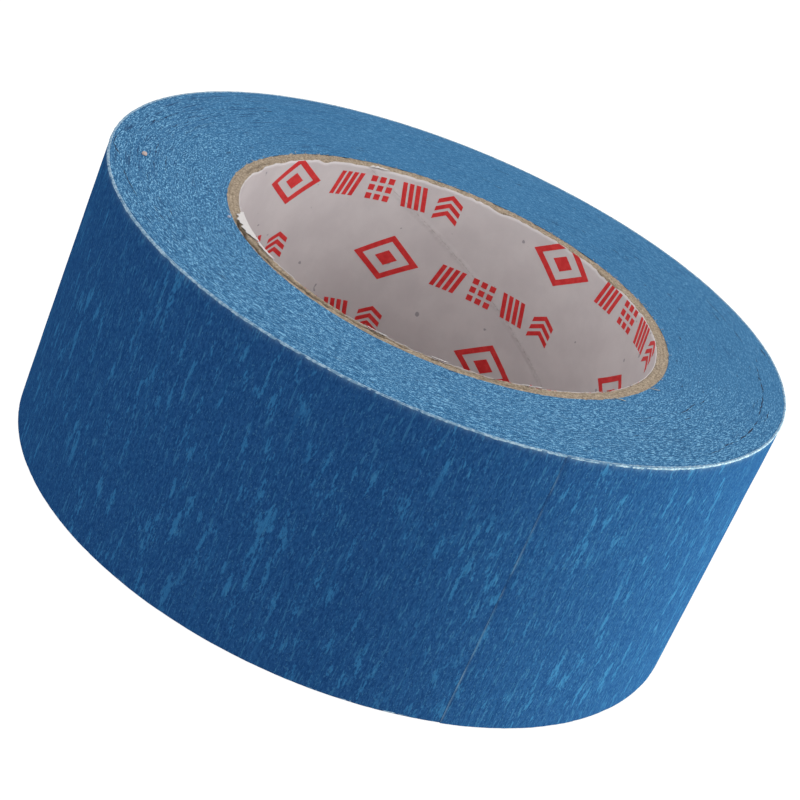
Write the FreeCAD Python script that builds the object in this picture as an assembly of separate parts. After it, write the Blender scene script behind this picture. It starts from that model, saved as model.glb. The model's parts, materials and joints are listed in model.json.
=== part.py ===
import FreeCAD, Part
import math
import os

from FreeCAD import Vector

# A roll of crepe paper masking tape on a spiral-wound paperboard core.
# Millimetres. The roll's axis is +Z and the core's lower end lies in the plane z = 0.
# Azimuths are in degrees, anticlockwise from +X as seen from above.

# The roll
tape_width = 50.8
bore_radius = 38.1
core_radius = 40.4
roll_radius = 61.5

# The tape's inner turns and the core have slid along the axis under the outer turns, which
# dishes the upper side by this much from the dish's edge in to the core, and bulges the lower side.
side_dish = 1.5
dish_radius = 57.4

# The tape: its paper, the adhesive under it, and the play that keeps each layer clear of the next
backing_thickness = 0.105
adhesive_thickness = 0.020
layer_play = 0.005
turn_pitch = backing_thickness + adhesive_thickness + 2 * layer_play

# The core: a printed liner inside, then board plies, each with a line of glue before the next
liner_thickness = 0.14
ply_count = 4
glue_line = 0.02
ply_thickness = (core_radius - bore_radius - liner_thickness) / ply_count - glue_line

# Every ply is a strip wound in a helix whose edges meet at a butt seam, open by a gap along the axis.
# The blade that slits a ply runs past its wall and its ends.
strip_pitch = 124.0
seam_gap = 0.5
liner_seam_azimuth = 125.0
seam_step = 360.0 / (ply_count + 1)
seam_overrun = 2.0
blade_margin = 0.5

# The free end: the last stretch of tape, in three links that curl away from the roll
end_azimuth = -64.3
link_count = 3
link_length = 9.0
link_gap = 0.02
link_lift = 0.02
link_angle = math.degrees(link_length / roll_radius)

# A spiral of half circles: the centre steps from one side of the axis to the other every half
# turn and the radius falls by half a pitch, so that the surface sinks by one pitch in a turn.
centre_offset = turn_pitch / 4
first_half_radius = roll_radius - centre_offset
second_half_radius = first_half_radius - turn_pitch / 2


def direction(azimuth):
    """Unit vector in the plane of the roll."""
    angle = math.radians(azimuth)
    return Vector(math.cos(angle), math.sin(angle), 0)


def half_centre(half):
    """Centre of the spiral's first (0) or second (1) half turn."""
    return direction(end_azimuth) * (centre_offset if half == 0 else -centre_offset)


def half_radius(half):
    return first_half_radius if half == 0 else second_half_radius


def arc(centre, radius, start, stop):
    """Arc about a centre, from one azimuth to another."""
    points = [centre + direction(a) * radius for a in (start, (start + stop) / 2, stop)]
    return Part.Arc(*points).toShape()


def layer_sector(half, depth, thickness, start, stop):
    """Stretch of one layer over part of a half turn, its outer face at a depth under the surface."""
    centre = half_centre(half)
    outer = half_radius(half) - depth
    inner = outer - thickness
    outer_edge = arc(centre, outer, start, stop)
    inner_edge = arc(centre, inner, start, stop)
    ends = [
        Part.makeLine(centre + direction(a) * inner, centre + direction(a) * outer)
        for a in (start, stop)
    ]
    outline = Part.Wire(Part.__sortEdges__([outer_edge, inner_edge] + ends))
    layer = Part.Face(outline).extrude(Vector(0, 0, tape_width))
    layer.translate(Vector(0, 0, side_dish))
    return layer


def link_gap_angle():
    return math.degrees(link_gap / roll_radius)


def outer_turn(depth, thickness):
    """Layer of the last full turn, from the root of the free end round to where it dips under the tip."""
    root = end_azimuth + link_count * link_angle + link_gap_angle() / 2
    middle = end_azimuth + 180.0
    finish = end_azimuth + 360.0 - link_gap_angle()
    first = layer_sector(0, depth, thickness, root, middle)
    second = layer_sector(1, depth, thickness, middle, finish)
    return first.fuse(second)


def link(number, depth, thickness):
    """Layer of one link of the free end; link 1 is at the root and the last one ends in the cut edge."""
    root = end_azimuth + (link_count + 1 - number) * link_angle
    is_last = number == link_count
    start = root - link_angle + (0 if is_last else link_gap_angle() / 2)
    stop = root - link_gap_angle() / 2
    return layer_sector(0, depth - link_lift, thickness, start, stop)


def wound_tape():
    """The turns under the outer one, as one body: a spiral outline with its small step, less the core.

    Its upper side is a shallow cone from the dish's edge down to the core, its lower side the same cone."""
    middle = end_azimuth + 180.0
    halves = [
        arc(half_centre(0), half_radius(0) - turn_pitch, end_azimuth, middle),
        arc(half_centre(1), half_radius(1) - turn_pitch, middle, end_azimuth + 360.0),
    ]
    step = Part.makeLine(halves[1].Vertexes[-1].Point, halves[0].Vertexes[0].Point)
    outline = Part.Wire(Part.__sortEdges__(halves + [step]))
    body = Part.Face(outline).extrude(Vector(0, 0, tape_width))
    body.translate(Vector(0, 0, side_dish))
    bulge = Part.makeCone(core_radius, dish_radius, side_dish)
    dish = Part.makeCone(core_radius, dish_radius, side_dish, Vector(0, 0, tape_width))
    body = body.fuse(bulge).removeSplitter().cut(dish)
    return body.cut(Part.makeCylinder(core_radius, tape_width + side_dish))


def tube(inner, outer):
    return Part.makeCylinder(outer, tape_width).cut(Part.makeCylinder(inner, tape_width))


def helical_slot(inner, outer, azimuth):
    """Thin helical blade through a tube's wall, which crosses the upper side face at an azimuth."""
    height = tape_width + 2 * seam_overrun
    middle = (inner + outer) / 2
    helix = Part.makeHelix(strip_pitch, height, middle)
    reach = (outer - inner) / 2 + blade_margin
    rise = seam_gap / 2
    corners = [(-reach, -rise), (reach, -rise), (reach, rise), (-reach, rise), (-reach, -rise)]
    profile = Part.makePolygon([Vector(middle + x, 0, z) for x, z in corners])
    blade = Part.Wire(helix).makePipeShell([profile], True, True)
    blade.translate(Vector(0, 0, -seam_overrun))
    turn_at_top = 360.0 * (tape_width + seam_overrun) / strip_pitch
    blade.rotate(Vector(0, 0, 0), Vector(0, 0, 1), azimuth - turn_at_top)
    return blade


def wound_ply(inner, thickness, azimuth):
    """One ply of the core: a tube slit along its helical butt seam."""
    outer = inner + thickness
    return tube(inner, outer).cut(helical_slot(inner, outer, azimuth))


def core_plies():
    """The liner and the board plies, from the bore outwards, their seams stepped round the core."""
    plies = {"core_liner": wound_ply(bore_radius, liner_thickness, liner_seam_azimuth)}
    inner = bore_radius + liner_thickness + glue_line
    for number in range(1, ply_count + 1):
        azimuth = liner_seam_azimuth + number * seam_step
        plies[f"core_ply_{number}"] = wound_ply(inner, ply_thickness, azimuth)
        inner += ply_thickness + glue_line
    return plies


def tape_layers():
    """The wound tape, its outer turn and the links of the free end, each as paper and adhesive."""
    adhesive_depth = backing_thickness + layer_play
    layers = {"backing": (0.0, backing_thickness), "adhesive": (adhesive_depth, adhesive_thickness)}
    pieces = {"wound_tape": wound_tape()}
    for name, (depth, thickness) in layers.items():
        pieces[f"outer_turn_{name}"] = outer_turn(depth, thickness)
        for number in range(1, link_count + 1):
            pieces[f"free_end_{number}_{name}"] = link(number, depth, thickness)
    return pieces


def main():
    os.makedirs("parts", exist_ok=True)
    pieces = core_plies()
    pieces.update(tape_layers())
    for name, shape in pieces.items():
        shape.exportStep(f"parts/{name}.step")
        print(name, len(shape.Solids), shape.isValid(), round(shape.Volume, 2))
    for number in range(1, link_count + 1):
        root = end_azimuth + (link_count + 1 - number) * link_angle
        hinge = half_centre(0) + direction(root) * (first_half_radius + link_lift)
        print("hinge", number, round(hinge.x, 4), round(hinge.y, 4))


main()
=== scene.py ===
import json
import math

import bpy
import numpy as np
from mathutils import Matrix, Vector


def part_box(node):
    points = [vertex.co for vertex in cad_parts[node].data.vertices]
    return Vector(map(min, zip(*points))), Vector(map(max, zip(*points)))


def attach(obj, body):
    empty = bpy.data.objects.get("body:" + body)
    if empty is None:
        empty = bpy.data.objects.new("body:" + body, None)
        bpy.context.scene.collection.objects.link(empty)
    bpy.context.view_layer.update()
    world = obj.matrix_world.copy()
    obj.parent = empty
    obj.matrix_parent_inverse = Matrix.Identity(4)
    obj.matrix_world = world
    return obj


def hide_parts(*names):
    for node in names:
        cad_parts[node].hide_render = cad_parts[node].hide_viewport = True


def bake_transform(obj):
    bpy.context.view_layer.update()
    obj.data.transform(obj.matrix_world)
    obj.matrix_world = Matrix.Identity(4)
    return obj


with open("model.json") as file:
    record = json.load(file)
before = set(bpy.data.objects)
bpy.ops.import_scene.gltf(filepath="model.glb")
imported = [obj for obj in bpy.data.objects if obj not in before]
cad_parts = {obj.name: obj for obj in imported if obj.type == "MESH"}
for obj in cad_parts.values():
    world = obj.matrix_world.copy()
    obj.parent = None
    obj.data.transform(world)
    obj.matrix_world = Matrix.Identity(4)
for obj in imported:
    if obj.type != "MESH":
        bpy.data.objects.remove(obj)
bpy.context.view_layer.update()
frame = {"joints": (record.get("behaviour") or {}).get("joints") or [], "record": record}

# A roll of blue crepe masking tape on a spiral-wound board core with a printed liner.
# Lengths are in metres. Azimuths are in radians, anticlockwise from +X as seen from above.

mm = 0.001
turn = 2 * math.pi


# ---------------------------------------------------------------- what the frame says

def mount(name):
    """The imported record's mount of that name."""
    return next(m for m in frame["record"]["mounts"] if m["name"] == name)


def half_width(node):
    """Mean of a round node's half sizes in X and Y."""
    low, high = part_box(node)
    return (high[0] - low[0] + high[1] - low[1]) / 4


def hinge_azimuths():
    """Azimuths of the free end's hinges, from its root to its last link."""
    places = [j["pos_m"] for j in frame["joints"]]
    return [math.atan2(p[1], p[0]) for p in places]


tape_pitch = 0.135 * mm
paper_thickness = 0.105 * mm
glue_thickness = 0.02 * mm

tape_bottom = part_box("outer_turn_backing")[0][2]
tape_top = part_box("outer_turn_backing")[1][2]
tape_width = tape_top - tape_bottom
core_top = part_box("core_ply_1")[1][2]
side_dish = tape_top - core_top
# The upper face's mount stands this far outside the dish
mount_margin = 2.0 * mm
dish_radius = mount("top_face")["pos_m"][0] - mount_margin
bore_radius = mount("core_bore")["dims"]["r_mm"] * mm
core_radius = half_width("core_ply_4")
liner_back = half_width("core_liner")
tip_radius = half_width("outer_turn_backing") + tape_pitch / 2

roots = hinge_azimuths()
link_angle = roots[0] - roots[1]
tip_azimuth = roots[-1] - link_angle
links = len(roots)


# ---------------------------------------------------------------- arrays and meshes

def lattice_noise(u, v, cells_u, cells_v, seed):
    """Value noise from -1 to 1 on a lattice of random numbers, eased between its points.

    u and v run from 0 to 1; the lattice repeats in u, so that it closes round the roll."""
    random = np.random.default_rng(seed)
    table = random.uniform(-1, 1, (cells_v + 2, cells_u))
    x = np.mod(u, 1) * cells_u
    y = np.clip(v, 0, 1) * cells_v
    i = np.floor(x).astype(int)
    j = np.floor(y).astype(int)
    fx = x - i
    fy = y - j
    fx = fx * fx * (3 - 2 * fx)
    fy = fy * fy * (3 - 2 * fy)
    i = np.mod(i, cells_u)
    after = np.mod(i + 1, cells_u)
    lower = table[j, i] * (1 - fx) + table[j, after] * fx
    upper = table[j + 1, i] * (1 - fx) + table[j + 1, after] * fx
    return lower * (1 - fy) + upper * fy


def smooth_step(x, start, stop):
    """0 before start, 1 after stop, eased between them."""
    t = np.clip((x - start) / (stop - start), 0, 1)
    return t * t * (3 - 2 * t)


def bump_at(x, centre, width):
    """Bell curve of height 1."""
    return np.exp(-((x - centre) / width) ** 2)


def polar(radius, azimuth, height):
    """Points on a surface given by radius and height over azimuth, as an array (..., 3)."""
    radius, azimuth, height = np.broadcast_arrays(radius, azimuth, height)
    return np.stack([radius * np.cos(azimuth), radius * np.sin(azimuth), height], axis=-1)


def quads(rows, columns, offset=0, close_rows=False, close_columns=False):
    """Corner numbers of a grid's faces, anticlockwise for columns to the right and rows up."""
    i = np.arange(rows if close_rows else rows - 1)[:, None]
    j = np.arange(columns if close_columns else columns - 1)[None, :]
    up = (i + 1) % rows
    along = (j + 1) % columns
    corners = [i * columns + j, i * columns + along, up * columns + along, up * columns + j]
    return np.stack([c + 0 * (i + j) for c in corners], axis=-1).reshape(-1, 4) + offset


def make_piece(name, points, faces, material, marks=None, smooth=True):
    """Mesh object at the origin from points and four-cornered faces; marks are float attributes."""
    mesh = bpy.data.meshes.new(name)
    points = np.asarray(points, np.float32).reshape(-1, 3)
    faces = np.asarray(faces, np.int32)
    mesh.vertices.add(len(points))
    mesh.vertices.foreach_set("co", points.ravel())
    mesh.loops.add(faces.size)
    mesh.loops.foreach_set("vertex_index", faces.ravel())
    mesh.polygons.add(len(faces))
    mesh.polygons.foreach_set("loop_start", np.arange(0, faces.size, 4, dtype=np.int32))
    mesh.update(calc_edges=True)
    mesh.polygons.foreach_set("use_smooth", np.full(len(faces), smooth))
    for key, values in (marks or {}).items():
        attribute = mesh.attributes.new(key, "FLOAT", "POINT")
        attribute.data.foreach_set("value", np.asarray(values, np.float32).ravel())
    mesh.materials.append(material)
    piece = bpy.data.objects.new(name, mesh)
    bpy.context.scene.collection.objects.link(piece)
    return piece


class Parts:
    """Gathers grids of points into one mesh."""

    def __init__(self):
        self.points = []
        self.faces = []
        self.count = 0

    def add_grid(self, points, flip=False, close_rows=False, close_columns=False):
        rows, columns = points.shape[:2]
        faces = quads(rows, columns, self.count, close_rows, close_columns)
        self.points.append(points.reshape(-1, 3))
        self.faces.append(faces[:, ::-1] if flip else faces)
        self.count += rows * columns

    def piece(self, name, material, marks=None, smooth=True):
        points = np.concatenate(self.points)
        return make_piece(name, points, np.concatenate(self.faces), material, marks, smooth)


# ---------------------------------------------------------------- material tools

class Signal:
    """A value in a material; arithmetic on it adds Math nodes."""

    def __init__(self, shader, socket):
        self.shader = shader
        self.socket = socket

    def math(self, operation, *values):
        node = self.shader.node("ShaderNodeMath", {"operation": operation}, dict(enumerate(values)))
        return Signal(self.shader, node.outputs[0])

    def __add__(self, other):
        return self.math("ADD", self, other)

    def __radd__(self, other):
        return self.math("ADD", other, self)

    def __sub__(self, other):
        return self.math("SUBTRACT", self, other)

    def __rsub__(self, other):
        return self.math("SUBTRACT", other, self)

    def __mul__(self, other):
        return self.math("MULTIPLY", self, other)

    def __rmul__(self, other):
        return self.math("MULTIPLY", other, self)

    def __truediv__(self, other):
        return self.math("DIVIDE", self, other)

    def __pow__(self, other):
        return self.math("POWER", self, other)

    def above(self, start, stop):
        """0 below start, 1 above stop, eased between them."""
        settings = {"interpolation_type": "SMOOTHSTEP"}
        inputs = {"Value": self, "From Min": start, "From Max": stop}
        node = self.shader.node("ShaderNodeMapRange", settings, inputs)
        return Signal(self.shader, node.outputs["Result"])


class Shader:
    """A material with one Principled shader."""

    def __init__(self, name, roughness=0.6, specular=0.5):
        self.material = bpy.data.materials.new(name)
        self.material.use_nodes = True
        self.tree = self.material.node_tree
        self.surface = self.tree.nodes["Principled BSDF"]
        self.surface.inputs["Roughness"].default_value = roughness
        self.surface.inputs["Specular IOR Level"].default_value = specular

    def node(self, kind, settings=None, inputs=None):
        """Adds a node, sets it up, then gives its sockets values or links."""
        node = self.tree.nodes.new(kind)
        for key, value in (settings or {}).items():
            setattr(node, key, value)
        for key, value in (inputs or {}).items():
            self.feed(node.inputs[key], value)
        return node

    def feed(self, socket, value):
        if isinstance(value, Signal):
            self.tree.links.new(value.socket, socket)
        elif hasattr(value, "__len__") and len(value) == 3 and socket.type == "RGBA":
            socket.default_value = (*value, 1)
        else:
            socket.default_value = value

    def set(self, name, value):
        self.feed(self.surface.inputs[name], value)

    def place(self):
        """Object coordinates."""
        return Signal(self, self.node("ShaderNodeTexCoord").outputs["Object"])

    def mark(self, name):
        """A float attribute of the mesh."""
        return Signal(self, self.node("ShaderNodeAttribute", {"attribute_name": name}).outputs["Fac"])

    def stretched(self, vector, scale):
        node = self.node("ShaderNodeVectorMath", {"operation": "MULTIPLY"}, {0: vector, 1: scale})
        return Signal(self, node.outputs[0])

    def parts_of(self, vector):
        node = self.node("ShaderNodeSeparateXYZ", None, {0: vector})
        return [Signal(self, output) for output in node.outputs]

    def joined(self, x, y, z):
        return Signal(self, self.node("ShaderNodeCombineXYZ", None, {0: x, 1: y, 2: z}).outputs[0])

    def noise(self, vector, scale=1.0, detail=2.0, roughness=0.5):
        inputs = {"Vector": vector, "Scale": scale, "Detail": detail, "Roughness": roughness}
        return Signal(self, self.node("ShaderNodeTexNoise", None, inputs).outputs["Fac"])

    def mix(self, share, first, second):
        node = self.node("ShaderNodeMix", {"data_type": "RGBA"}, {0: share, 6: first, 7: second})
        return Signal(self, node.outputs[2])

    def relief(self, height, distance, strength=1.0):
        """Feeds a height, in units of distance, to the surface's normal."""
        inputs = {"Height": height, "Distance": distance, "Strength": strength}
        self.set("Normal", Signal(self, self.node("ShaderNodeBump", None, inputs).outputs[0]))


def along_rings(shader, radial, around):
    """Noise space for streaks that follow the turns: (cos, sin) times around, and radius times radial."""
    x, y = shader.parts_of(shader.place())[:2]
    radius = (x * x + y * y) ** 0.5
    return shader.joined(x / radius * around, y / radius * around, radius * radial)


# ---------------------------------------------------------------- materials

def crepe_paper():
    """Blue crepe paper: fine grain, ragged paler flecks along the axis, pale where it is cut, and at the
    free end's cut partly painted light.
    """
    shader = Shader("crepe_paper", roughness=0.7, specular=0.0)
    place = shader.place()
    grain = shader.noise(shader.stretched(place, (3700, 3700, 1250)), detail=2, roughness=0.6)
    ridge = shader.noise(shader.stretched(place, (1500, 1500, 300)), detail=2, roughness=0.55)
    field = shader.noise(shader.stretched(place, (800, 800, 190)), detail=2, roughness=0.5)
    patch = shader.noise(shader.stretched(place, (75, 75, 60)), detail=1)
    long_streak = shader.noise(shader.stretched(place, (1200, 1200, 40)), detail=1)
    scratch = shader.noise(shader.stretched(place, (2600, 2600, 360)), detail=1)
    colour = shader.mix(grain.above(0.34, 0.66), (0.0062, 0.034, 0.111), (0.0122, 0.054, 0.152))
    colour = shader.mix(ridge.above(0.45, 0.75) * 0.30, colour, (0.012, 0.066, 0.170))
    ragged = field * 0.70 + grain * 0.30
    fleck = ragged.above(0.550, 0.640) * patch.above(0.30, 0.52)
    colour = shader.mix(fleck * 0.62, colour, (0.024, 0.122, 0.262))
    colour = shader.mix(long_streak.above(0.66, 0.76) * 0.22, colour, (0.018, 0.096, 0.225))
    colour = shader.mix(scratch.above(0.61, 0.72) * 0.45, colour, (0.030, 0.125, 0.245))
    glint = shader.noise(shader.stretched(place, (4700, 4700, 2800)), detail=1).above(0.60, 0.72)
    colour = shader.mix(glint * 0.40, colour, (0.045, 0.140, 0.250))
    # Pale along the cut edges: paler cut fibres, and at the free end's cut and rims also painted light
    colour = shader.mix(shader.mark("cut") * 0.9, colour, (0.150, 0.260, 0.360))
    shader.set("Base Color", colour)
    shader.set("Roughness", 0.72 - fleck * 0.12)
    shader.relief(grain * 0.5 + ridge * 0.5 + field * 0.4, 0.12 * mm, 0.8)
    return shader.material


def slit_side():
    """The slit side of the wound turns: short pale fibres and thin dark lines of painted shade that follow
    the turns.
    """
    shader = Shader("slit_side", roughness=0.8, specular=0.05)
    place = shader.place()
    x, y = shader.parts_of(place)[:2]
    fibres = shader.noise(along_rings(shader, 5200, 66), detail=2, roughness=0.6)
    fuzz = shader.noise(place, scale=5000, detail=1, roughness=0.6)
    rings = shader.noise(along_rings(shader, 1250, 2.2), detail=3, roughness=0.7)
    lines = shader.noise(along_rings(shader, 4300, 9), detail=1)
    cloud = shader.noise(place, scale=60, detail=2)
    rough = 1 - (y + x * 0.3).above(-25 * mm, 30 * mm) * 0.68
    left = (x * -1 + y * 0.25).above(10 * mm, 60 * mm)
    tuft = fibres * 0.62 + fuzz * 0.38
    low = tuft.above(0.38, 0.58)
    high = tuft.above(0.515, 0.62) * rough
    colour = shader.mix(low * rough + 0.6 * (1 - rough), (0.012, 0.064, 0.148), (0.041, 0.151, 0.295))
    colour = shader.mix(high * 0.90, colour, (0.190, 0.400, 0.572))
    colour = shader.mix(rings.above(0.50, 0.66) * (0.20 + left * 0.33), colour, (0.022, 0.092, 0.205))
    # Painted shade along the hairline gaps between turns
    shade = lines.above(0.585, 0.68) * cloud.above(0.36, 0.58) * (0.30 + left * 0.50)
    colour = shader.mix(shade, colour, (0.008, 0.036, 0.100))
    shader.set("Base Color", colour)
    shader.relief((fibres + fuzz) * rough + rings * 0.5, 0.09 * mm, 0.8)
    return shader.material


def cut_fibres():
    """Pale frayed paper along a slit edge."""
    shader = Shader("cut_fibres", roughness=0.85, specular=0.05)
    grain = shader.noise(shader.place(), scale=2100, detail=2)
    colour = shader.mix(grain.above(0.36, 0.66), (0.110, 0.205, 0.305), (0.255, 0.365, 0.460))
    shader.set("Base Color", colour)
    shader.relief(grain, 0.10 * mm, 0.7)
    return shader.material


def core_board():
    """Grey-brown board: fibres, darker glue lines between the plies, and dark splits whose darkness is
    painted shade.
    """
    shader = Shader("core_board", roughness=0.9, specular=0.05)
    fibres = shader.noise(along_rings(shader, 3000, 95), detail=3, roughness=0.65)
    speck = shader.noise(shader.place(), scale=2000, detail=3, roughness=0.7)
    pulp = (fibres * 0.6 + speck * 0.4).above(0.32, 0.68)
    colour = shader.mix(pulp, (0.165, 0.128, 0.092), (0.365, 0.295, 0.220))
    colour = shader.mix(speck.above(0.60, 0.72) * 0.5, colour, (0.520, 0.450, 0.350))
    colour = shader.mix(shader.mark("line") * 0.55, colour, (0.105, 0.078, 0.050))
    # Painted shade inside the splits
    colour = shader.mix(shader.mark("gap") * 0.9, colour, (0.050, 0.033, 0.022))
    shader.set("Base Color", colour)
    shader.relief(fibres + speck, 0.16 * mm, 0.9)
    return shader.material


def liner_paper():
    """White calendered paper, pinkish partly by its own tint and partly by painted red light bounced off the
    print: faint mottling, grey specks, and a helical seam with wrinkles darkened by painted shade.
    """
    shader = Shader("liner_paper", roughness=0.5, specular=0.35)
    place = shader.place()
    x, y, z = shader.parts_of(place)
    mottle = shader.noise(place, scale=130, detail=4, roughness=0.6)
    speck = shader.noise(place, scale=560, detail=1)
    wobble = shader.noise(place, scale=420, detail=2)
    crease = shader.noise(place, scale=1500, detail=2, roughness=0.6)
    azimuth = y.math("ARCTAN2", y, x)
    behind = azimuth - seam_azimuth + (core_top - z) * (turn / seam_pitch)
    across = azimuth.math("WRAP", behind, math.pi, -math.pi) * bore_radius + (wobble - 0.5) * (0.9 * mm)
    away = across.math("ABSOLUTE", across)
    near = 1 - away.above(0.3 * mm, 2.2 * mm)
    line = 1 - away.above(0.04 * mm, 0.20 * mm)
    # Pinkish whites: partly the paper's tint, partly painted red light bounced off the print
    colour = shader.mix(mottle.above(0.32, 0.72), (0.490, 0.453, 0.457), (0.545, 0.508, 0.508))
    colour = shader.mix(speck.above(0.755, 0.79) * 0.6, colour, (0.130, 0.125, 0.150))
    # Painted shade in the wrinkles by the seam
    colour = shader.mix(near * crease.above(0.45, 0.75) * 0.35, colour, (0.330, 0.300, 0.290))
    colour = shader.mix(line * crease.above(0.35, 0.60) * 0.45, colour, (0.200, 0.175, 0.160))
    colour = shader.mix(shader.mark("torn") * 0.8, colour, (0.410, 0.395, 0.385))
    colour = shader.mix(shader.mark("bare"), colour, (0.200, 0.155, 0.110))
    shader.set("Base Color", colour)
    shader.set("Roughness", 0.42 + mottle * 0.2)
    shader.relief(mottle * 0.3 + near * crease, 0.14 * mm, 0.6)
    return shader.material


def liner_ink():
    """Red ink, a little uneven where it soaked in."""
    shader = Shader("liner_ink", roughness=0.5, specular=0.35)
    soak = shader.noise(shader.place(), scale=900, detail=3)
    shader.set("Base Color", shader.mix(soak.above(0.35, 0.7), (0.520, 0.020, 0.022), (0.600, 0.036, 0.036)))
    shader.set("Roughness", 0.45 + soak * 0.15)
    return shader.material


def tacky_glue():
    """Clear adhesive over the paper's back: glossy, blue-grey, streaked along the axis."""
    shader = Shader("tacky_glue", roughness=0.3, specular=0.6)
    place = shader.place()
    streak = shader.noise(shader.stretched(place, (1500, 1500, 260)), detail=3)
    blot = shader.noise(place, scale=240, detail=3)
    colour = shader.mix(streak.above(0.35, 0.65), (0.070, 0.150, 0.240), (0.130, 0.240, 0.340))
    colour = shader.mix(blot.above(0.5, 0.75) * 0.4, colour, (0.200, 0.290, 0.360))
    shader.set("Base Color", colour)
    shader.set("Roughness", 0.22 + blot * 0.2)
    shader.relief(streak, 0.06 * mm, 0.7)
    return shader.material


def plain(name, colour, roughness):
    """Near-plain finish with a slight grain."""
    shader = Shader(name, roughness=roughness, specular=0.3)
    grain = shader.noise(shader.place(), scale=1800, detail=2)
    darker = tuple(0.75 * c for c in colour)
    shader.set("Base Color", shader.mix(grain.above(0.3, 0.7), darker, colour))
    return shader.material


# ---------------------------------------------------------------- the wound tape

wall_sectors = 3
wall_columns = 1000
side_rings = 118
side_columns = 720
# The side faces lie this far under the tape's edges, and reach this far over the core's board
side_depth = 0.06 * mm
board_overlap = 0.12 * mm
# Depth and reach of the rounding at the wall's slit edges
edge_depth = 0.10 * mm
edge_reach = 0.25 * mm
# How far down from the upper edge the paper is pale
pale_reach = 0.30 * mm


def wall_heights():
    """Heights of the wall's rows: close together at its two slit edges and even between them."""
    edge = np.array([0, 0.06, 0.12, 0.2, 0.32, 0.5, 0.8, 1.3]) * mm
    middle = np.linspace(2.1 * mm, tape_width - 2.1 * mm, 46)
    return tape_bottom + np.concatenate([edge, middle, tape_width - edge[::-1]])[:, None]


wall_rows = len(wall_heights())


def strip_radius(past_tip):
    """Radius of the tape's outer surface at an angle past the tip: it falls by one pitch in a turn."""
    return tip_radius - tape_pitch * past_tip / turn


def crepe_relief(azimuth, height):
    """Crepe wrinkles along the axis: three widths of ridge over a slow swell."""
    u = azimuth / turn
    v = (height - tape_bottom) / tape_width
    wide = lattice_noise(u, v, 150, 7, 11) * 0.022
    mid = lattice_noise(u, v, 420, 12, 12) * 0.020
    fine = lattice_noise(u, v, 860, 22, 13) * 0.011
    swell = lattice_noise(u, v, 14, 2, 14) * 0.030
    return (wide + mid + fine + swell) * mm


def edge_fall(height):
    """How far the wall draws in at its two slit edges."""
    margin = np.minimum(height - tape_bottom, tape_top - height)
    return edge_depth * np.exp(-margin / edge_reach)


def edge_mark(azimuth, height):
    """How pale the wall is under its upper slit edge, in uneven tufts."""
    tufts = 0.6 + 0.4 * lattice_noise(azimuth / turn, height * 0, 500, 2, 57)
    return 0.9 * tufts * np.exp(-(tape_top - height) / pale_reach)


def build_wall(paper):
    """The outer surface of the strip, from the root of the free end round to the turn under it.

    Points: radius of the strip less the edge's fall plus crepe relief, over azimuth and height."""
    start = roots[0] - tip_azimuth
    heights = wall_heights()
    for number in range(wall_sectors):
        ends = start + turn * np.array([number, number + 1]) / wall_sectors
        past = np.linspace(ends[0], ends[1], wall_columns)[None, :]
        azimuth = tip_azimuth + past
        radius = strip_radius(past) + crepe_relief(azimuth, heights) - edge_fall(heights)
        cut = edge_mark(azimuth, heights)
        points = polar(radius, azimuth, heights)
        faces = quads(wall_rows, wall_columns)
        piece = make_piece(f"tape_wall_{number + 1}", points, faces, paper, {"cut": cut})
        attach(piece, "roll")
        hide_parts("outer_turn_backing", "outer_turn_adhesive")


# Gaps between the turns on the upper side:
# (azimuths in degrees, shares of the way from core to rim, width in mm)
turn_gaps = [
    ((37, 29), (0.775, 0.772), 0.08),
    ((28, 21), (0.770, 0.780), 0.07),
    ((12, 1), (0.786, 0.798), 0.12),
    ((0, -10), (0.797, 0.802), 0.10),
    ((-12, -23), (0.818, 0.838), 0.15),
    ((-24, -29), (0.838, 0.834), 0.09),
    ((-29, -34), (0.850, 0.872), 0.08),
    ((-6, -11), (0.872, 0.868), 0.07),
    ((-17, -26), (0.348, 0.360), 0.10),
    ((-13, -16), (0.385, 0.380), 0.08),
    ((-164, -168), (0.900, 0.960), 0.14),
    ((-168, -173), (0.966, 0.955), 0.10),
    ((-149, -160), (0.840, 0.882), 0.09),
    ((-140, -149), (0.700, 0.740), 0.08),
    ((-165, -172), (0.520, 0.540), 0.08),
    ((-171, -177), (0.630, 0.640), 0.08),
    ((176, 166), (0.780, 0.770), 0.08),
    ((172, 160), (0.560, 0.550), 0.06),
    ((160, 149), (0.880, 0.870), 0.06),
]


def side_relief(share, azimuth):
    """Unevenness of a side face: turns that stand a little proud or deep, bundled and alone."""
    u = azimuth / turn
    bundles = lattice_noise(u, share, 7, 26, 41) * 0.020
    turns = lattice_noise(u, share, 60, 110, 42) * 0.022
    fibres = lattice_noise(u, share, 340, 112, 43) * 0.020
    return (bundles + turns + fibres) * mm


def dish_fall(radius):
    """How far the inner turns have slid along the axis: nothing outside the dish, most at the core."""
    return side_dish * np.clip((dish_radius - radius) / (dish_radius - core_radius), 0, 1)


def side_height(radius, relief, upper):
    """Height of a side face: the tape's edge, less the slide of the turns, with relief outwards."""
    depth = side_depth - relief
    return (tape_top - depth if upper else tape_bottom + depth) - dish_fall(radius)


def side_point(share, azimuth):
    """Radius on a side face at a share of the way from the core to the strip's edge."""
    inner = core_radius - board_overlap
    past = np.mod(azimuth - roots[0], turn) + roots[0] - tip_azimuth
    return inner + (strip_radius(past) - side_depth - inner) * share


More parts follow.
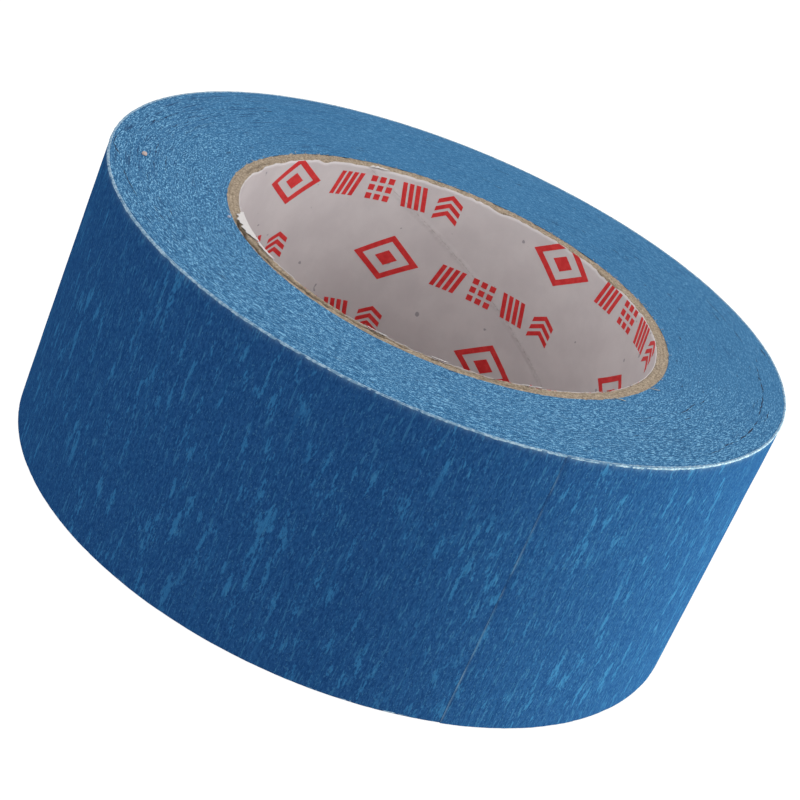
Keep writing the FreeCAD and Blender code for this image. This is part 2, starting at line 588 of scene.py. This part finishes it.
def build_side(name, upper, material):
    """A slit side face: a ring from the core to the strip's edge, with relief."""
    azimuth = roots[0] + turn * np.linspace(0, 1, side_columns)[None, :]
    share = np.linspace(0, 1, side_rings)[:, None]
    inner = core_radius - board_overlap
    outer = strip_radius(azimuth - tip_azimuth) - side_depth
    radius = inner + (outer - inner) * share
    height = side_height(radius, side_relief(share, azimuth if upper else -azimuth), upper)
    faces = quads(side_rings, side_columns)
    piece = make_piece(name, polar(radius, azimuth, height), faces[:, ::-1] if upper else faces, material)
    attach(piece, "roll")
    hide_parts("wound_tape")


# Gaps wider than this, in mm, are spread more than the hairline ones; all lie just over the face
wide_gap = 0.065
gap_spread = (1.1, 2.1)
gap_rise = 0.022 * mm
# Short gaps scattered over each side face
short_gaps = 150


def gap_ribbon(parts, ends, shares, width, upper, seed):
    """A dark sliver of painted shadow over a side face: it follows the turns, wavers, and breaks off in
    steps.

    Points: an azimuth run by a share that moves evenly plus noise, half a width to each side."""
    steps = 6 + int(abs(ends[1] - ends[0]) * 2.2)
    t = np.linspace(0, 1, steps)[None, :]
    azimuth = np.radians(ends[0] + (ends[1] - ends[0]) * t)
    waver = lattice_noise(t, t * 0, 3 + steps // 5, 2, seed) * 0.0045
    share = shares[0] + (shares[1] - shares[0]) * t + waver
    thick = np.clip(0.55 + 0.65 * lattice_noise(t, t * 0, 2 + steps // 3, 2, seed + 1), 0.05, 1.2)
    thick = thick * np.sin(math.pi * np.clip(t, 0.02, 0.98)) ** 0.5 * width * mm / 2
    side = np.array([-1.0, 1.0])[:, None]
    radius = side_point(share, azimuth) + side * thick * gap_spread[width > wide_gap]
    relief = side_relief(share, azimuth if upper else -azimuth) + gap_rise
    height = side_height(radius, relief, upper)
    flip = (ends[1] > ends[0]) == upper
    parts.add_grid(polar(radius, azimuth, height), flip=flip)


def build_gaps(name, upper, material):
    """The painted shadow of the gaps between turns: on the upper side the known ones, and on both sides many
    short ones.
    """
    random = np.random.default_rng(17 + upper)
    parts = Parts()
    if upper:
        for number, (ends, shares, width) in enumerate(turn_gaps):
            gap_ribbon(parts, ends, shares, width, upper, 200 + 2 * number)
    for number in range(short_gaps):
        first = random.uniform(-180, 180)
        length = random.uniform(0.5, 3.5)
        share = random.uniform(0.05, 0.97)
        width = random.uniform(0.04, 0.08)
        gap_ribbon(parts, (first, first - length), (share, share), width, upper, 400 + 2 * number)
    piece = parts.piece(name, material)
    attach(piece, "roll")


bead_sides = 8
bead_radius = 0.230
# Distance of the bead's middle from the wall and from the tape's edge
bead_inset = {True: 0.21 * mm, False: 0.33 * mm}
bead_depth = 0.18 * mm
# The bead fades out over this length at the cut tip
bead_fade = 0.9 * mm


def edge_bead(azimuth, upper):
    """Frayed bead along a slit edge: a thin tube of uneven thickness carried round the strip's edge."""
    around = turn * np.arange(bead_sides)[:, None] / bead_sides
    lumps = lattice_noise(azimuth / turn, around / turn, 900, 6, 51 + upper)
    tufts = lattice_noise(azimuth / turn, around / turn, 330, 3, 53 + upper)
    past = azimuth - tip_azimuth
    thickness = (bead_radius + 0.040 * lumps + 0.045 * tufts) * mm
    thickness = thickness * smooth_step(past * tip_radius, 0, bead_fade)
    radius = strip_radius(past) - bead_inset[upper] + thickness * np.cos(around)
    depth = np.maximum(bead_depth - thickness * np.sin(around), 0)
    points = polar(radius, azimuth, tape_top - depth if upper else tape_bottom + depth)
    faces = quads(bead_sides, azimuth.shape[1], close_rows=True)
    return points, faces if upper else faces[:, ::-1]


def build_edge(name, upper, material):
    """The frayed bead of one whole turn."""
    azimuth = roots[0] + turn * np.linspace(0, 1, 2400)[None, :]
    piece = make_piece(name, *edge_bead(azimuth, upper), material)
    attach(piece, "roll")


# ---------------------------------------------------------------- the free end

link_columns = 44
tip_lift = 0.004 * mm
# The tip's paper is pressed by this share of its thickness, and sinks by this much
tip_press = 0.88
press_reach = 0.42 * mm
tip_sink = 0.024 * mm
sink_reach = 0.2 * mm
# Width of the pale line along the cut, and how far the adhesive stays behind it
cut_width = 0.20 * mm
glue_setback = 0.25 * mm
# How pale the sheet's back and its four rims are; the rims' paleness is partly paler cut fibres and partly
# painted light, which brightens the cut end where it lies in shade
back_paleness = 0.3
rim_paleness = 0.6


def link_sheet(azimuth, heights, depth):
    """A surface of the free end at a depth under its outer face; it lifts a little towards the tip."""
    past = azimuth - tip_azimuth
    lift = tip_lift * (1 - smooth_step(past, 0, links * link_angle))
    return strip_radius(past) + lift + crepe_relief(azimuth, heights) - depth


def slab(azimuth, heights, front, back):
    """Closed sheet between a front and a back depth, with its ends and edges.

    The cut tip is pressed thin, and sinks on to the turn below, both fading with distance from it."""
    parts = Parts()
    faces = {}
    reach = (azimuth - tip_azimuth) * tip_radius
    pressed = tip_press * (back - front) * np.exp(-reach / press_reach)
    sunk = tip_sink * np.exp(-reach / sink_reach)
    for key, depth in (("front", front + pressed + sunk), ("back", back + sunk)):
        radius = link_sheet(azimuth, heights, depth)
        if key == "front":
            radius = radius - 0.3 * edge_fall(heights) * (back - front) / paper_thickness
        faces[key] = polar(radius, azimuth, heights)
    parts.add_grid(faces["front"])
    parts.add_grid(faces["back"], flip=True)
    for row in (0, -1):
        rim = np.stack([faces["back"][row], faces["front"][row]])
        parts.add_grid(rim, flip=(row == -1))
    for column in (0, -1):
        rim = np.stack([faces["back"][:, column], faces["front"][:, column]])
        parts.add_grid(rim, flip=(column == 0))
    return parts


def cut_mark(azimuth, heights, is_tip):
    """How pale the paper is: under its upper slit edge and, on the last link, along the cut end, where the
    pale line is partly paler cut fibres and partly painted light.
    """
    mark = edge_mark(azimuth, heights)
    if is_tip:
        v = (heights - tape_bottom) / tape_width
        uneven = 0.45 + 0.45 * lattice_noise(v, v * 0, 34, 2, 61)
        reach = (azimuth - tip_azimuth) * tip_radius
        # Pale line along the cut end: partly paler cut fibres, partly painted light on an end that faces
        # away from the side lamp and lies in shade
        line = uneven * (0.85 - 0.45 * v) * bump_at(reach, 0, cut_width)
        mark = np.maximum(mark, line)
    return mark


def build_link(number, paper, glue, fray):
    """One link of the free end: its paper and its glue, which run from its hinge to the next one."""
    root = roots[number - 1]
    spread = np.linspace(0, 1, link_columns) ** (2.8 if number == links else 1)
    azimuth = (root - link_angle + link_angle * spread)[None, :]
    heights = wall_heights()
    mark = cut_mark(azimuth, heights, number == links)
    ends = np.ones(2 * (2 * link_columns) + 2 * (2 * wall_rows))
    marks = {"cut": np.concatenate([mark.ravel(), mark.ravel() * back_paleness, ends * rim_paleness])}
    sheet = slab(azimuth, heights, 0.0, paper_thickness).piece(f"free_end_{number}_paper", paper, marks)
    under = azimuth + (glue_setback / tip_radius * (1 - spread) if number == links else 0)
    coat = slab(under, heights, paper_thickness + 0.001 * mm, paper_thickness + glue_thickness)
    coat = coat.piece(f"free_end_{number}_glue", glue)
    for piece, node, slot in ((sheet, "backing", "crepe_paper"), (coat, "adhesive", "adhesive")):
        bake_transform(piece)
        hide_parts(f"free_end_{number}_{node}")
    for side, upper in (("upper", True), ("lower", False)):
        arc = np.linspace(root - link_angle, root, 60)[None, :]
        bead = make_piece(f"free_end_{number}_edge_{side}", *edge_bead(arc, upper), fray)
        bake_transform(bead)


# ---------------------------------------------------------------- the core

board_columns = 1000
# Splits in the core's upper end, grooves darkened with painted shade: (azimuth in degrees, share of the
# board's thickness at the start and at the end, length in degrees, strength)
core_splits = [
    (-146, 0.60, 0.78, 14, 1.0),
    (-135, 0.70, 0.50, 16, 1.0),
    (-120, 0.48, 0.30, 20, 1.0),
    (-100, 0.28, 0.14, 24, 0.9),
    (-78, 0.14, 0.10, 22, 0.6),
    (-70, 0.40, 0.50, 18, 0.4),
    (168, 0.30, 0.40, 18, 0.4),
]


def core_marks(share, azimuth):
    """Glue lines between the plies, and splits that open along them; the splits are cut in as grooves and
    darkened with painted shade.
    """
    degrees = np.degrees(azimuth)
    lines = np.zeros(np.broadcast(share, azimuth).shape)
    for number in (1, 2, 3):
        waver = 0.02 * lattice_noise(azimuth / turn, share * 0, 40, 2, 70 + number)
        lines = np.maximum(lines, bump_at(share + waver, number / 4, 0.035))
    lines = lines * (0.5 + 0.5 * lattice_noise(azimuth / turn, share, 70, 4, 75))
    dark = np.zeros(lines.shape)
    for middle, first, last, length, strength in core_splits:
        away = np.mod(degrees - middle + 180, 360) - 180
        path = first + (last - first) * (away / length + 0.5) + 0.07 * np.sin(away * 1.1 + middle)
        along = 1 - smooth_step(np.abs(away), length * 0.35, length * 0.5)
        dark = np.maximum(dark, strength * along * bump_at(share, path, 0.13))
    return np.clip(lines, 0, 1), dark


def build_core(board):
    """The board plies as one sleeve: a closed profile of back, bore side and two fuzzy cut ends."""
    end_steps, wall_steps = 22, 6
    azimuth = turn * np.arange(board_columns)[None, :] / board_columns
    share = np.linspace(0, 1, end_steps)[:, None]
    inner = liner_back - 0.02 * mm
    outer = core_radius
    lines, dark = core_marks(share, azimuth)
    u = azimuth / turn
    fuzz = lattice_noise(u, share, 640, 20, 81) * 0.06 + lattice_noise(u, share, 210, 7, 82) * 0.09
    round_off = 0.08 * bump_at(share, 0, 0.08) + 0.02 * bump_at(share, 1, 0.05)
    depth = (0.10 - fuzz + round_off + 0.06 * lines + 0.35 * dark) * mm
    radius = inner + (outer - inner) * share + 0 * azimuth
    ragged = lattice_noise(u, share * 0, 420, 2, 83) * 0.05 * mm
    radius = radius + ragged * (1 - 4 * share * (1 - share))
    climb = np.linspace(0, 1, wall_steps)[1:-1, None] + 0 * azimuth
    profile = [
        (radius, np.maximum(depth, 0.0)),
        (outer + 0 * climb, core_top * climb),
        (radius[::-1], core_top - depth[::-1]),
        (inner + 0 * climb, core_top * (1 - climb)),
    ]
    points = np.concatenate([polar(r, azimuth, z) for r, z in profile])
    zero = np.zeros(climb.shape)
    marks = {
        "line": np.concatenate([lines, zero, lines[::-1], zero]),
        "gap": np.concatenate([dark, zero, dark[::-1], zero]),
    }
    faces = quads(len(points), board_columns, close_rows=True, close_columns=True)
    piece = make_piece("core_board", points, faces[:, ::-1], board, marks)
    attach(piece, "roll")
    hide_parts("core_ply_1", "core_ply_2", "core_ply_3", "core_ply_4")


# ---------------------------------------------------------------- the liner and its print

seam_azimuth = math.radians(125)
seam_pitch = 124 * mm


def seam_distance(azimuth, height):
    """Distance round the bore from the liner's helical butt seam."""
    seam = seam_azimuth - (core_top - height) / seam_pitch * turn
    return (np.mod(azimuth - seam + math.pi, turn) - math.pi) * bore_radius


def liner_relief(azimuth, height):
    """Height of the liner's surface over the bore's circle: swells, and wrinkles at its seam."""
    u = azimuth / turn
    v = height / core_top
    away = seam_distance(azimuth, height)
    swell = lattice_noise(u, v, 22, 4, 91) * 0.035 + lattice_noise(u, v, 90, 14, 92) * 0.010
    wrinkle = lattice_noise(u, v, 150, 30, 93) * 0.06 * bump_at(away, 0, 1.8 * mm)
    return (swell + wrinkle) * mm


def liner_radius(azimuth, height):
    return bore_radius - liner_relief(azimuth, height)


def build_liner(paper):
    """The printed paper that lines the bore: its face, its back and its two ragged edges."""
    rows, back_rows, columns = 88, 3, 1000
    azimuth = turn * np.arange(columns)[None, :] / columns
    u = azimuth / turn
    nicks = lattice_noise(u, azimuth * 0, 60, 2, 96)
    ragged = (0.14 + 0.10 * lattice_noise(u, azimuth * 0, 300, 2, 95)) * mm
    ragged = ragged + 0.40 * mm * smooth_step(nicks, 0.2, 1.0)
    face_height = ragged + (core_top - 2 * ragged) * np.linspace(0, 1, rows)[:, None]
    back_height = ragged + (core_top - 2 * ragged) * np.linspace(1, 0, back_rows)[:, None]
    face = polar(liner_radius(azimuth, face_height), azimuth, face_height)
    back = polar(liner_back - 0.01 * mm, azimuth, back_height)
    points = np.concatenate([face, back])
    bare = np.concatenate([np.zeros(face_height.shape), np.ones(back_height.shape)])
    faces = quads(rows + back_rows, columns, close_rows=True, close_columns=True)
    piece = make_piece("liner_paper", points, faces[:, ::-1], paper, {"bare": bare * 0.7})
    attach(piece, "roll")
    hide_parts("core_liner")


def stripe(start, stop, width, upright=False):
    """Corners of a straight stripe, its ends level, or upright if asked."""
    (x0, y0), (x1, y1) = start, stop
    dx, dy = (0, width / 2) if upright else (width / 2, 0)
    return [(x0 - dx, y0 - dy), (x0 + dx, y0 + dy), (x1 + dx, y1 + dy), (x1 - dx, y1 - dy)]


def lozenge_mark(half_wide, half_high, band, core):
    """A lozenge outline of four stripes round a small solid lozenge, about its own centre."""
    corners = [(half_wide, 0), (0, half_high), (-half_wide, 0), (0, -half_high)]
    inside = [(x * (1 - band), y * (1 - band)) for x, y in corners]
    shapes = []
    for i in range(4):
        j = (i + 1) % 4
        shapes.append([inside[i], corners[i], corners[j], inside[j]])
    shapes.append([(x * core, y * core) for x, y in corners])
    return shapes


def hatched_block(size, lean):
    """Four leaning stripes."""
    pitch = size / 3.6
    shift = lean * size * 0.12
    places = (np.arange(4) - 1.5) * pitch
    return [stripe((x - shift, -size / 2), (x + shift, size / 2), pitch * 0.66) for x in places]


def dotted_block(size):
    """Three by three small squares."""
    pitch = size / 2.7
    half = pitch * 0.33
    places = (np.arange(3) - 1) * pitch
    return [[(x - half, y - half), (x + half, y - half), (x + half, y + half), (x - half, y + half)]
            for x in places for y in places]


def chevron_block(size):
    """Three stacked chevrons."""
    shapes = []
    for y in (np.arange(3) - 1) * size / 3.0 - size * 0.1:
        for side in (-1, 1):
            low = (side * size / 2, y - size * 0.08)
            high = (0, y + size * 0.22)
            shapes.append(stripe(low, high, size * 0.20, upright=True))
    return shapes


# Print layout: rows run round the bore, with a slight climb, and each row's first mark has its own azimuth
print_rows = [(46.5, 147.9), (32.6, 195.9), (20.1, 157.2), (7.0, 205.2)]
print_repeat = math.radians(87.0)
repeats_per_row = 4
print_climb = 0.0204
block_step = 6.95
first_block = 12.6


def print_shapes():
    """One repeat of the print, in millimetres from its mark: the mark, then four blocks."""
    shapes = lozenge_mark(6.6, 4.8, 0.28, 0.34)
    blocks = [hatched_block(4.8, 1), dotted_block(4.8), hatched_block(4.8, -1), chevron_block(4.8)]
    for number, block in enumerate(blocks):
        shift = first_block + number * block_step
        shapes += [[(x + shift, y) for x, y in shape] for shape in block]
    return shapes


def patch_grid(corners, step=0.4):
    """Points over a four-cornered shape, blended from its corners, about a step apart."""
    a, b, c, d = (np.array(p, float) for p in corners)
    across = max(2, int(math.ceil(max(np.hypot(*(b - a)), np.hypot(*(c - d))) / step)) + 1)
    along = max(2, int(math.ceil(max(np.hypot(*(d - a)), np.hypot(*(c - b))) / step)) + 1)
    s = np.linspace(0, 1, across)[None, :, None]
    t = np.linspace(0, 1, along)[:, None, None]
    return (a * (1 - s) + b * s) * (1 - t) + (d * (1 - s) + c * s) * t


def area_sign(corners):
    """Which way round the corners go."""
    p = np.array(corners)
    q = np.roll(p, -1, axis=0)
    return np.sign(np.sum(p[:, 0] * q[:, 1] - q[:, 0] * p[:, 1]))


def build_print(ink):
    """The red print: thin closed patches that lie on the liner's face, one piece for each row."""
    film = 0.035 * mm
    shapes = print_shapes()
    for row, (level, first) in enumerate(print_rows):
        parts = Parts()
        for repeat in range(repeats_per_row):
            start = math.radians(first) - repeat * print_repeat
            for shape in shapes:
                ordered = shape if area_sign(shape) > 0 else shape[::-1]
                flat = patch_grid(ordered)
                azimuth = start - flat[..., 0] * mm / bore_radius
                travel = (math.radians(first) - azimuth) * bore_radius
                height = level * mm + travel * print_climb + flat[..., 1] * mm
                height = np.minimum(height, core_top - 0.2 * mm)
                radius = liner_radius(azimuth, height)
                face = polar(radius - film, azimuth, height)
                back = polar(radius + film, azimuth, height)
                parts.add_grid(face)
                parts.add_grid(back, flip=True)
                for line in (0, -1):
                    parts.add_grid(np.stack([back[line], face[line]]), flip=(line == -1))
                    parts.add_grid(np.stack([back[:, line], face[:, line]]), flip=(line == 0))
        piece = parts.piece(f"liner_print_{row + 1}", ink, smooth=False)
        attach(piece, "roll")


# ---------------------------------------------------------------- loose fibres and flakes

loose_fibres = 170


def hair(parts, start, middle, stop, radius):
    """A fibre: a thin five-sided tube along a quadratic curve, tapering to its ends."""
    steps, sides = 12, 5
    t = np.linspace(0, 1, steps)[:, None]
    start, middle, stop = (np.array(p, float) for p in (start, middle, stop))
    path = (1 - t) ** 2 * start + 2 * t * (1 - t) * middle + t ** 2 * stop
    along = np.gradient(path, axis=0)
    along /= np.linalg.norm(along, axis=1, keepdims=True) + 1e-12
    side = np.cross(along, [0.31, 0.17, 0.93])
    side /= np.linalg.norm(side, axis=1, keepdims=True) + 1e-12
    other = np.cross(along, side)
    thickness = radius * (1 - 0.7 * np.abs(2 * t - 1) ** 3)
    angle = turn * np.arange(sides) / sides
    ring = (side[:, None] * np.cos(angle)[None, :, None] + other[:, None] * np.sin(angle)[None, :, None])
    parts.add_grid(path[:, None] + ring * thickness[:, None], close_columns=True)


def spot(radius, degrees, rise=0.0):
    """A point over the upper side face or the core's upper end."""
    a = math.radians(degrees)
    return (radius * math.cos(a), radius * math.sin(a), tape_top - float(dish_fall(radius)) + rise)


def build_core_fibres(material):
    """Fibres that stand out of the core's cut end, and one long hair."""
    random = np.random.default_rng(7)
    parts = Parts()
    hair(parts, spot(40.1 * mm, -20.9), spot(41.1 * mm, -21.0, 0.3 * mm), spot(41.8 * mm, -18.9), 0.055 * mm)
    hair(parts, spot(40.0 * mm, -36.8), spot(41.0 * mm, -36.6, 0.3 * mm), spot(41.5 * mm, -34.6), 0.08 * mm)
    for _ in range(loose_fibres):
        degrees = random.uniform(0, 360)
        radius = random.choice([core_radius, bore_radius + 0.3 * mm]) + random.uniform(-0.2, 0.15) * mm
        length = random.uniform(0.3, 1.1) * mm
        swing = random.uniform(-1, 1) * length / radius * 57
        out = random.uniform(-0.4, 0.8) * length
        lift = random.uniform(0.0, 0.25) * mm
        hair(parts, spot(radius, degrees, -0.1 * mm), spot(radius + out / 2, degrees + swing / 2, lift),
             spot(radius + out, degrees + swing, lift * 0.6), random.uniform(0.018, 0.04) * mm)
    piece = parts.piece("core_fibres", material)
    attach(piece, "roll")


def flake_grid(middle, half_length, inner, outer, lift, seed):
    """A torn scrap of paper: a ring sector with ragged borders, which curls up at its free side."""
    rows, columns = 9, 28
    s = np.linspace(-1, 1, columns)[None, :]
    t = np.linspace(0, 1, rows)[:, None]
    random = lattice_noise((s + 1) / 2, t * 0, 17, 2, seed)
    reach = (outer - inner) * (1 - np.abs(s) ** 3) * (0.8 + 0.25 * random)
    azimuth = math.radians(middle) + math.radians(half_length) * s + 0 * t
    radius = inner + reach * t
    height = core_top + 0.05 * mm + lift * t * t * (1 - s * s) + 0.04 * mm * random
    return polar(radius, azimuth, height)


def build_flakes(paper):
    """Liner scraps that were torn over the core's end."""
    parts = Parts()
    scraps = [
        (-150, 8.0, 37.8, 39.9, 0.18, 1),
        (-138, 4.5, 38.0, 38.8, 0.12, 2),
        (-100, 3.0, 38.1, 38.6, 0.10, 3),
        (-84, 2.2, 38.1, 38.7, 0.16, 4),
        (121, 3.2, 37.9, 38.6, 0.10, 5),
        (-60, 3.0, 38.1, 38.5, 0.10, 6),
    ]
    for middle, length, inner, outer, lift, seed in scraps:
        top = flake_grid(middle, length, inner * mm, outer * mm, lift * mm, seed)
        under = top - np.array([0, 0, 0.05 * mm])
        parts.add_grid(top, flip=True)
        parts.add_grid(under)
        for line in (0, -1):
            parts.add_grid(np.stack([under[line], top[line]]), flip=(line == 0))
            parts.add_grid(np.stack([under[:, line], top[:, line]]), flip=(line == -1))
    piece = parts.piece("liner_scraps", paper, {"torn": np.ones(parts.count)})
    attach(piece, "roll")


def build_chip(name, radius, degrees, size, material):
    """A crumb on the side face: a lumpy ball flattened to nine tenths."""
    rows, columns = 10, 14
    rise = np.linspace(-1, 1, rows)[:, None] * math.pi / 2
    around = turn * np.arange(columns)[None, :] / columns
    lumps = 1 + 0.25 * lattice_noise(around / turn, (rise / math.pi) + 0.5, 5, 4, 101)
    radial = size * lumps
    centre = np.array(spot(radius, degrees, size * 0.2))
    shape = np.stack([radial * np.cos(rise) * np.cos(around), radial * np.cos(rise) * np.sin(around),
                      0.9 * radial * np.sin(rise) + 0 * around], axis=-1)
    piece = make_piece(name, shape + centre, quads(rows, columns, close_columns=True), material)
    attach(piece, "roll")


# ---------------------------------------------------------------- stage, light and camera

def build_floor():
    """A plain pale floor that gives off a little light, so that it stays even."""
    size = 6.0
    grid = np.linspace(-size, size, 2)
    x, y = np.meshgrid(grid, grid)
    points = np.stack([x, y, np.full(x.shape, -0.02 * mm)], axis=-1)
    shader = Shader("pale_floor", roughness=0.9, specular=0.05)
    x, y = shader.parts_of(shader.place())[:2]
    # Inside the bore the floor is grey and gives off nothing
    open_floor = ((x * x + y * y) ** 0.5).above(36 * mm, 56 * mm)
    shader.set("Base Color", shader.mix(open_floor, (0.14, 0.13, 0.13), (0.06, 0.06, 0.06)))
    shader.set("Emission Color", shader.mix(open_floor, (0.0, 0.0, 0.0), (1.0, 1.0, 1.0)))
    shader.set("Emission Strength", 1.0)
    floor = make_piece("floor", points, quads(2, 2), shader.material)


def area_light(name, place, target, size, power, colour=(1, 1, 1)):
    """A soft light of a given width and height, aimed at a point."""
    light = bpy.data.lights.new(name, "AREA")
    light.shape = "RECTANGLE"
    light.size, light.size_y = size
    light.energy = power
    light.color = colour
    holder = bpy.data.objects.new(name, light)
    bpy.context.scene.collection.objects.link(holder)
    holder.location = place
    aim(holder, place, target)
    return holder


def aim(holder, place, target, roll=0.0):
    """Turns a camera or light at place to look at target, rolled about its line of sight."""
    back = np.array(place, float) - np.array(target, float)
    back /= np.linalg.norm(back)
    right = np.cross([0, 0, 1], back)
    right /= np.linalg.norm(right)
    up = np.cross(back, right)
    turned_right = right * math.cos(roll) + up * math.sin(roll)
    turned_up = up * math.cos(roll) - right * math.sin(roll)
    holder.rotation_mode = "QUATERNION"
    matrix = Matrix([[turned_right[i], turned_up[i], back[i]] for i in range(3)])
    holder.rotation_quaternion = matrix.to_quaternion()


def build_lights():
    """A low warm strip at the right, a weak fill above it, and an even white surround."""
    middle = (0, 0, tape_top / 2)
    warm = (1.0, 0.84, 0.60)
    area_light("side", (0.80, 0.10, 0.03), middle, size=(0.35, 0.05), power=18.4, colour=warm)
    area_light("fill", (0.60, 0.02, 0.42), middle, size=(0.4, 0.4), power=1.5)
    world = bpy.data.worlds.new("studio")
    world.use_nodes = True
    world.node_tree.nodes["Background"].inputs["Color"].default_value = (1, 1, 1, 1)
    world.node_tree.nodes["Background"].inputs["Strength"].default_value = 1.35
    bpy.context.scene.world = world
    bpy.context.scene.view_settings.view_transform = "Standard"


def build_camera():
    """A long lens from the front and above, turned about its own axis so that the roll leans."""
    elevation = math.radians(24.75)
    roll = math.radians(23.45)
    distance = 371.1 * mm
    target = np.array([0.86 * mm, 0, 24.33 * mm])
    back = np.array([0, -math.cos(elevation), math.sin(elevation)])
    place = target + back * distance
    camera = bpy.data.cameras.new("camera")
    camera.sensor_width = 36
    camera.lens = 95.07
    camera.clip_start = 10 * mm
    holder = bpy.data.objects.new("camera", camera)
    bpy.context.scene.collection.objects.link(holder)
    holder.location = place
    aim(holder, place, target, roll)
    bpy.context.scene.camera = holder


def main():
    paper = crepe_paper()
    side = slit_side()
    fray = cut_fibres()
    gap = plain("gap_shadow", (0.003, 0.014, 0.045), 0.9)
    build_wall(paper)
    build_side("side_face_upper", True, side)
    build_side("side_face_lower", False, side)
    build_gaps("turn_gaps_upper", True, gap)
    build_gaps("turn_gaps_lower", False, gap)
    build_edge("slit_edge_upper", True, fray)
    build_edge("slit_edge_lower", False, fray)
    glue = tacky_glue()
    for number in range(1, links + 1):
        build_link(number, paper, glue, fray)
    build_core(core_board())
    liner = liner_paper()
    build_liner(liner)
    build_print(liner_ink())
    build_core_fibres(plain("loose_fibre", (0.42, 0.37, 0.29), 0.8))
    build_flakes(liner)
    build_chip("board_crumb", 55.3 * mm, -168.1, 0.46 * mm, plain("crumb", (0.46, 0.36, 0.33), 0.8))
    build_chip("paper_crumb", 41.0 * mm, -152.7, 0.30 * mm, plain("paper_dust", (0.35, 0.38, 0.48), 0.8))
    build_floor()
    build_lights()
    build_camera()


main()
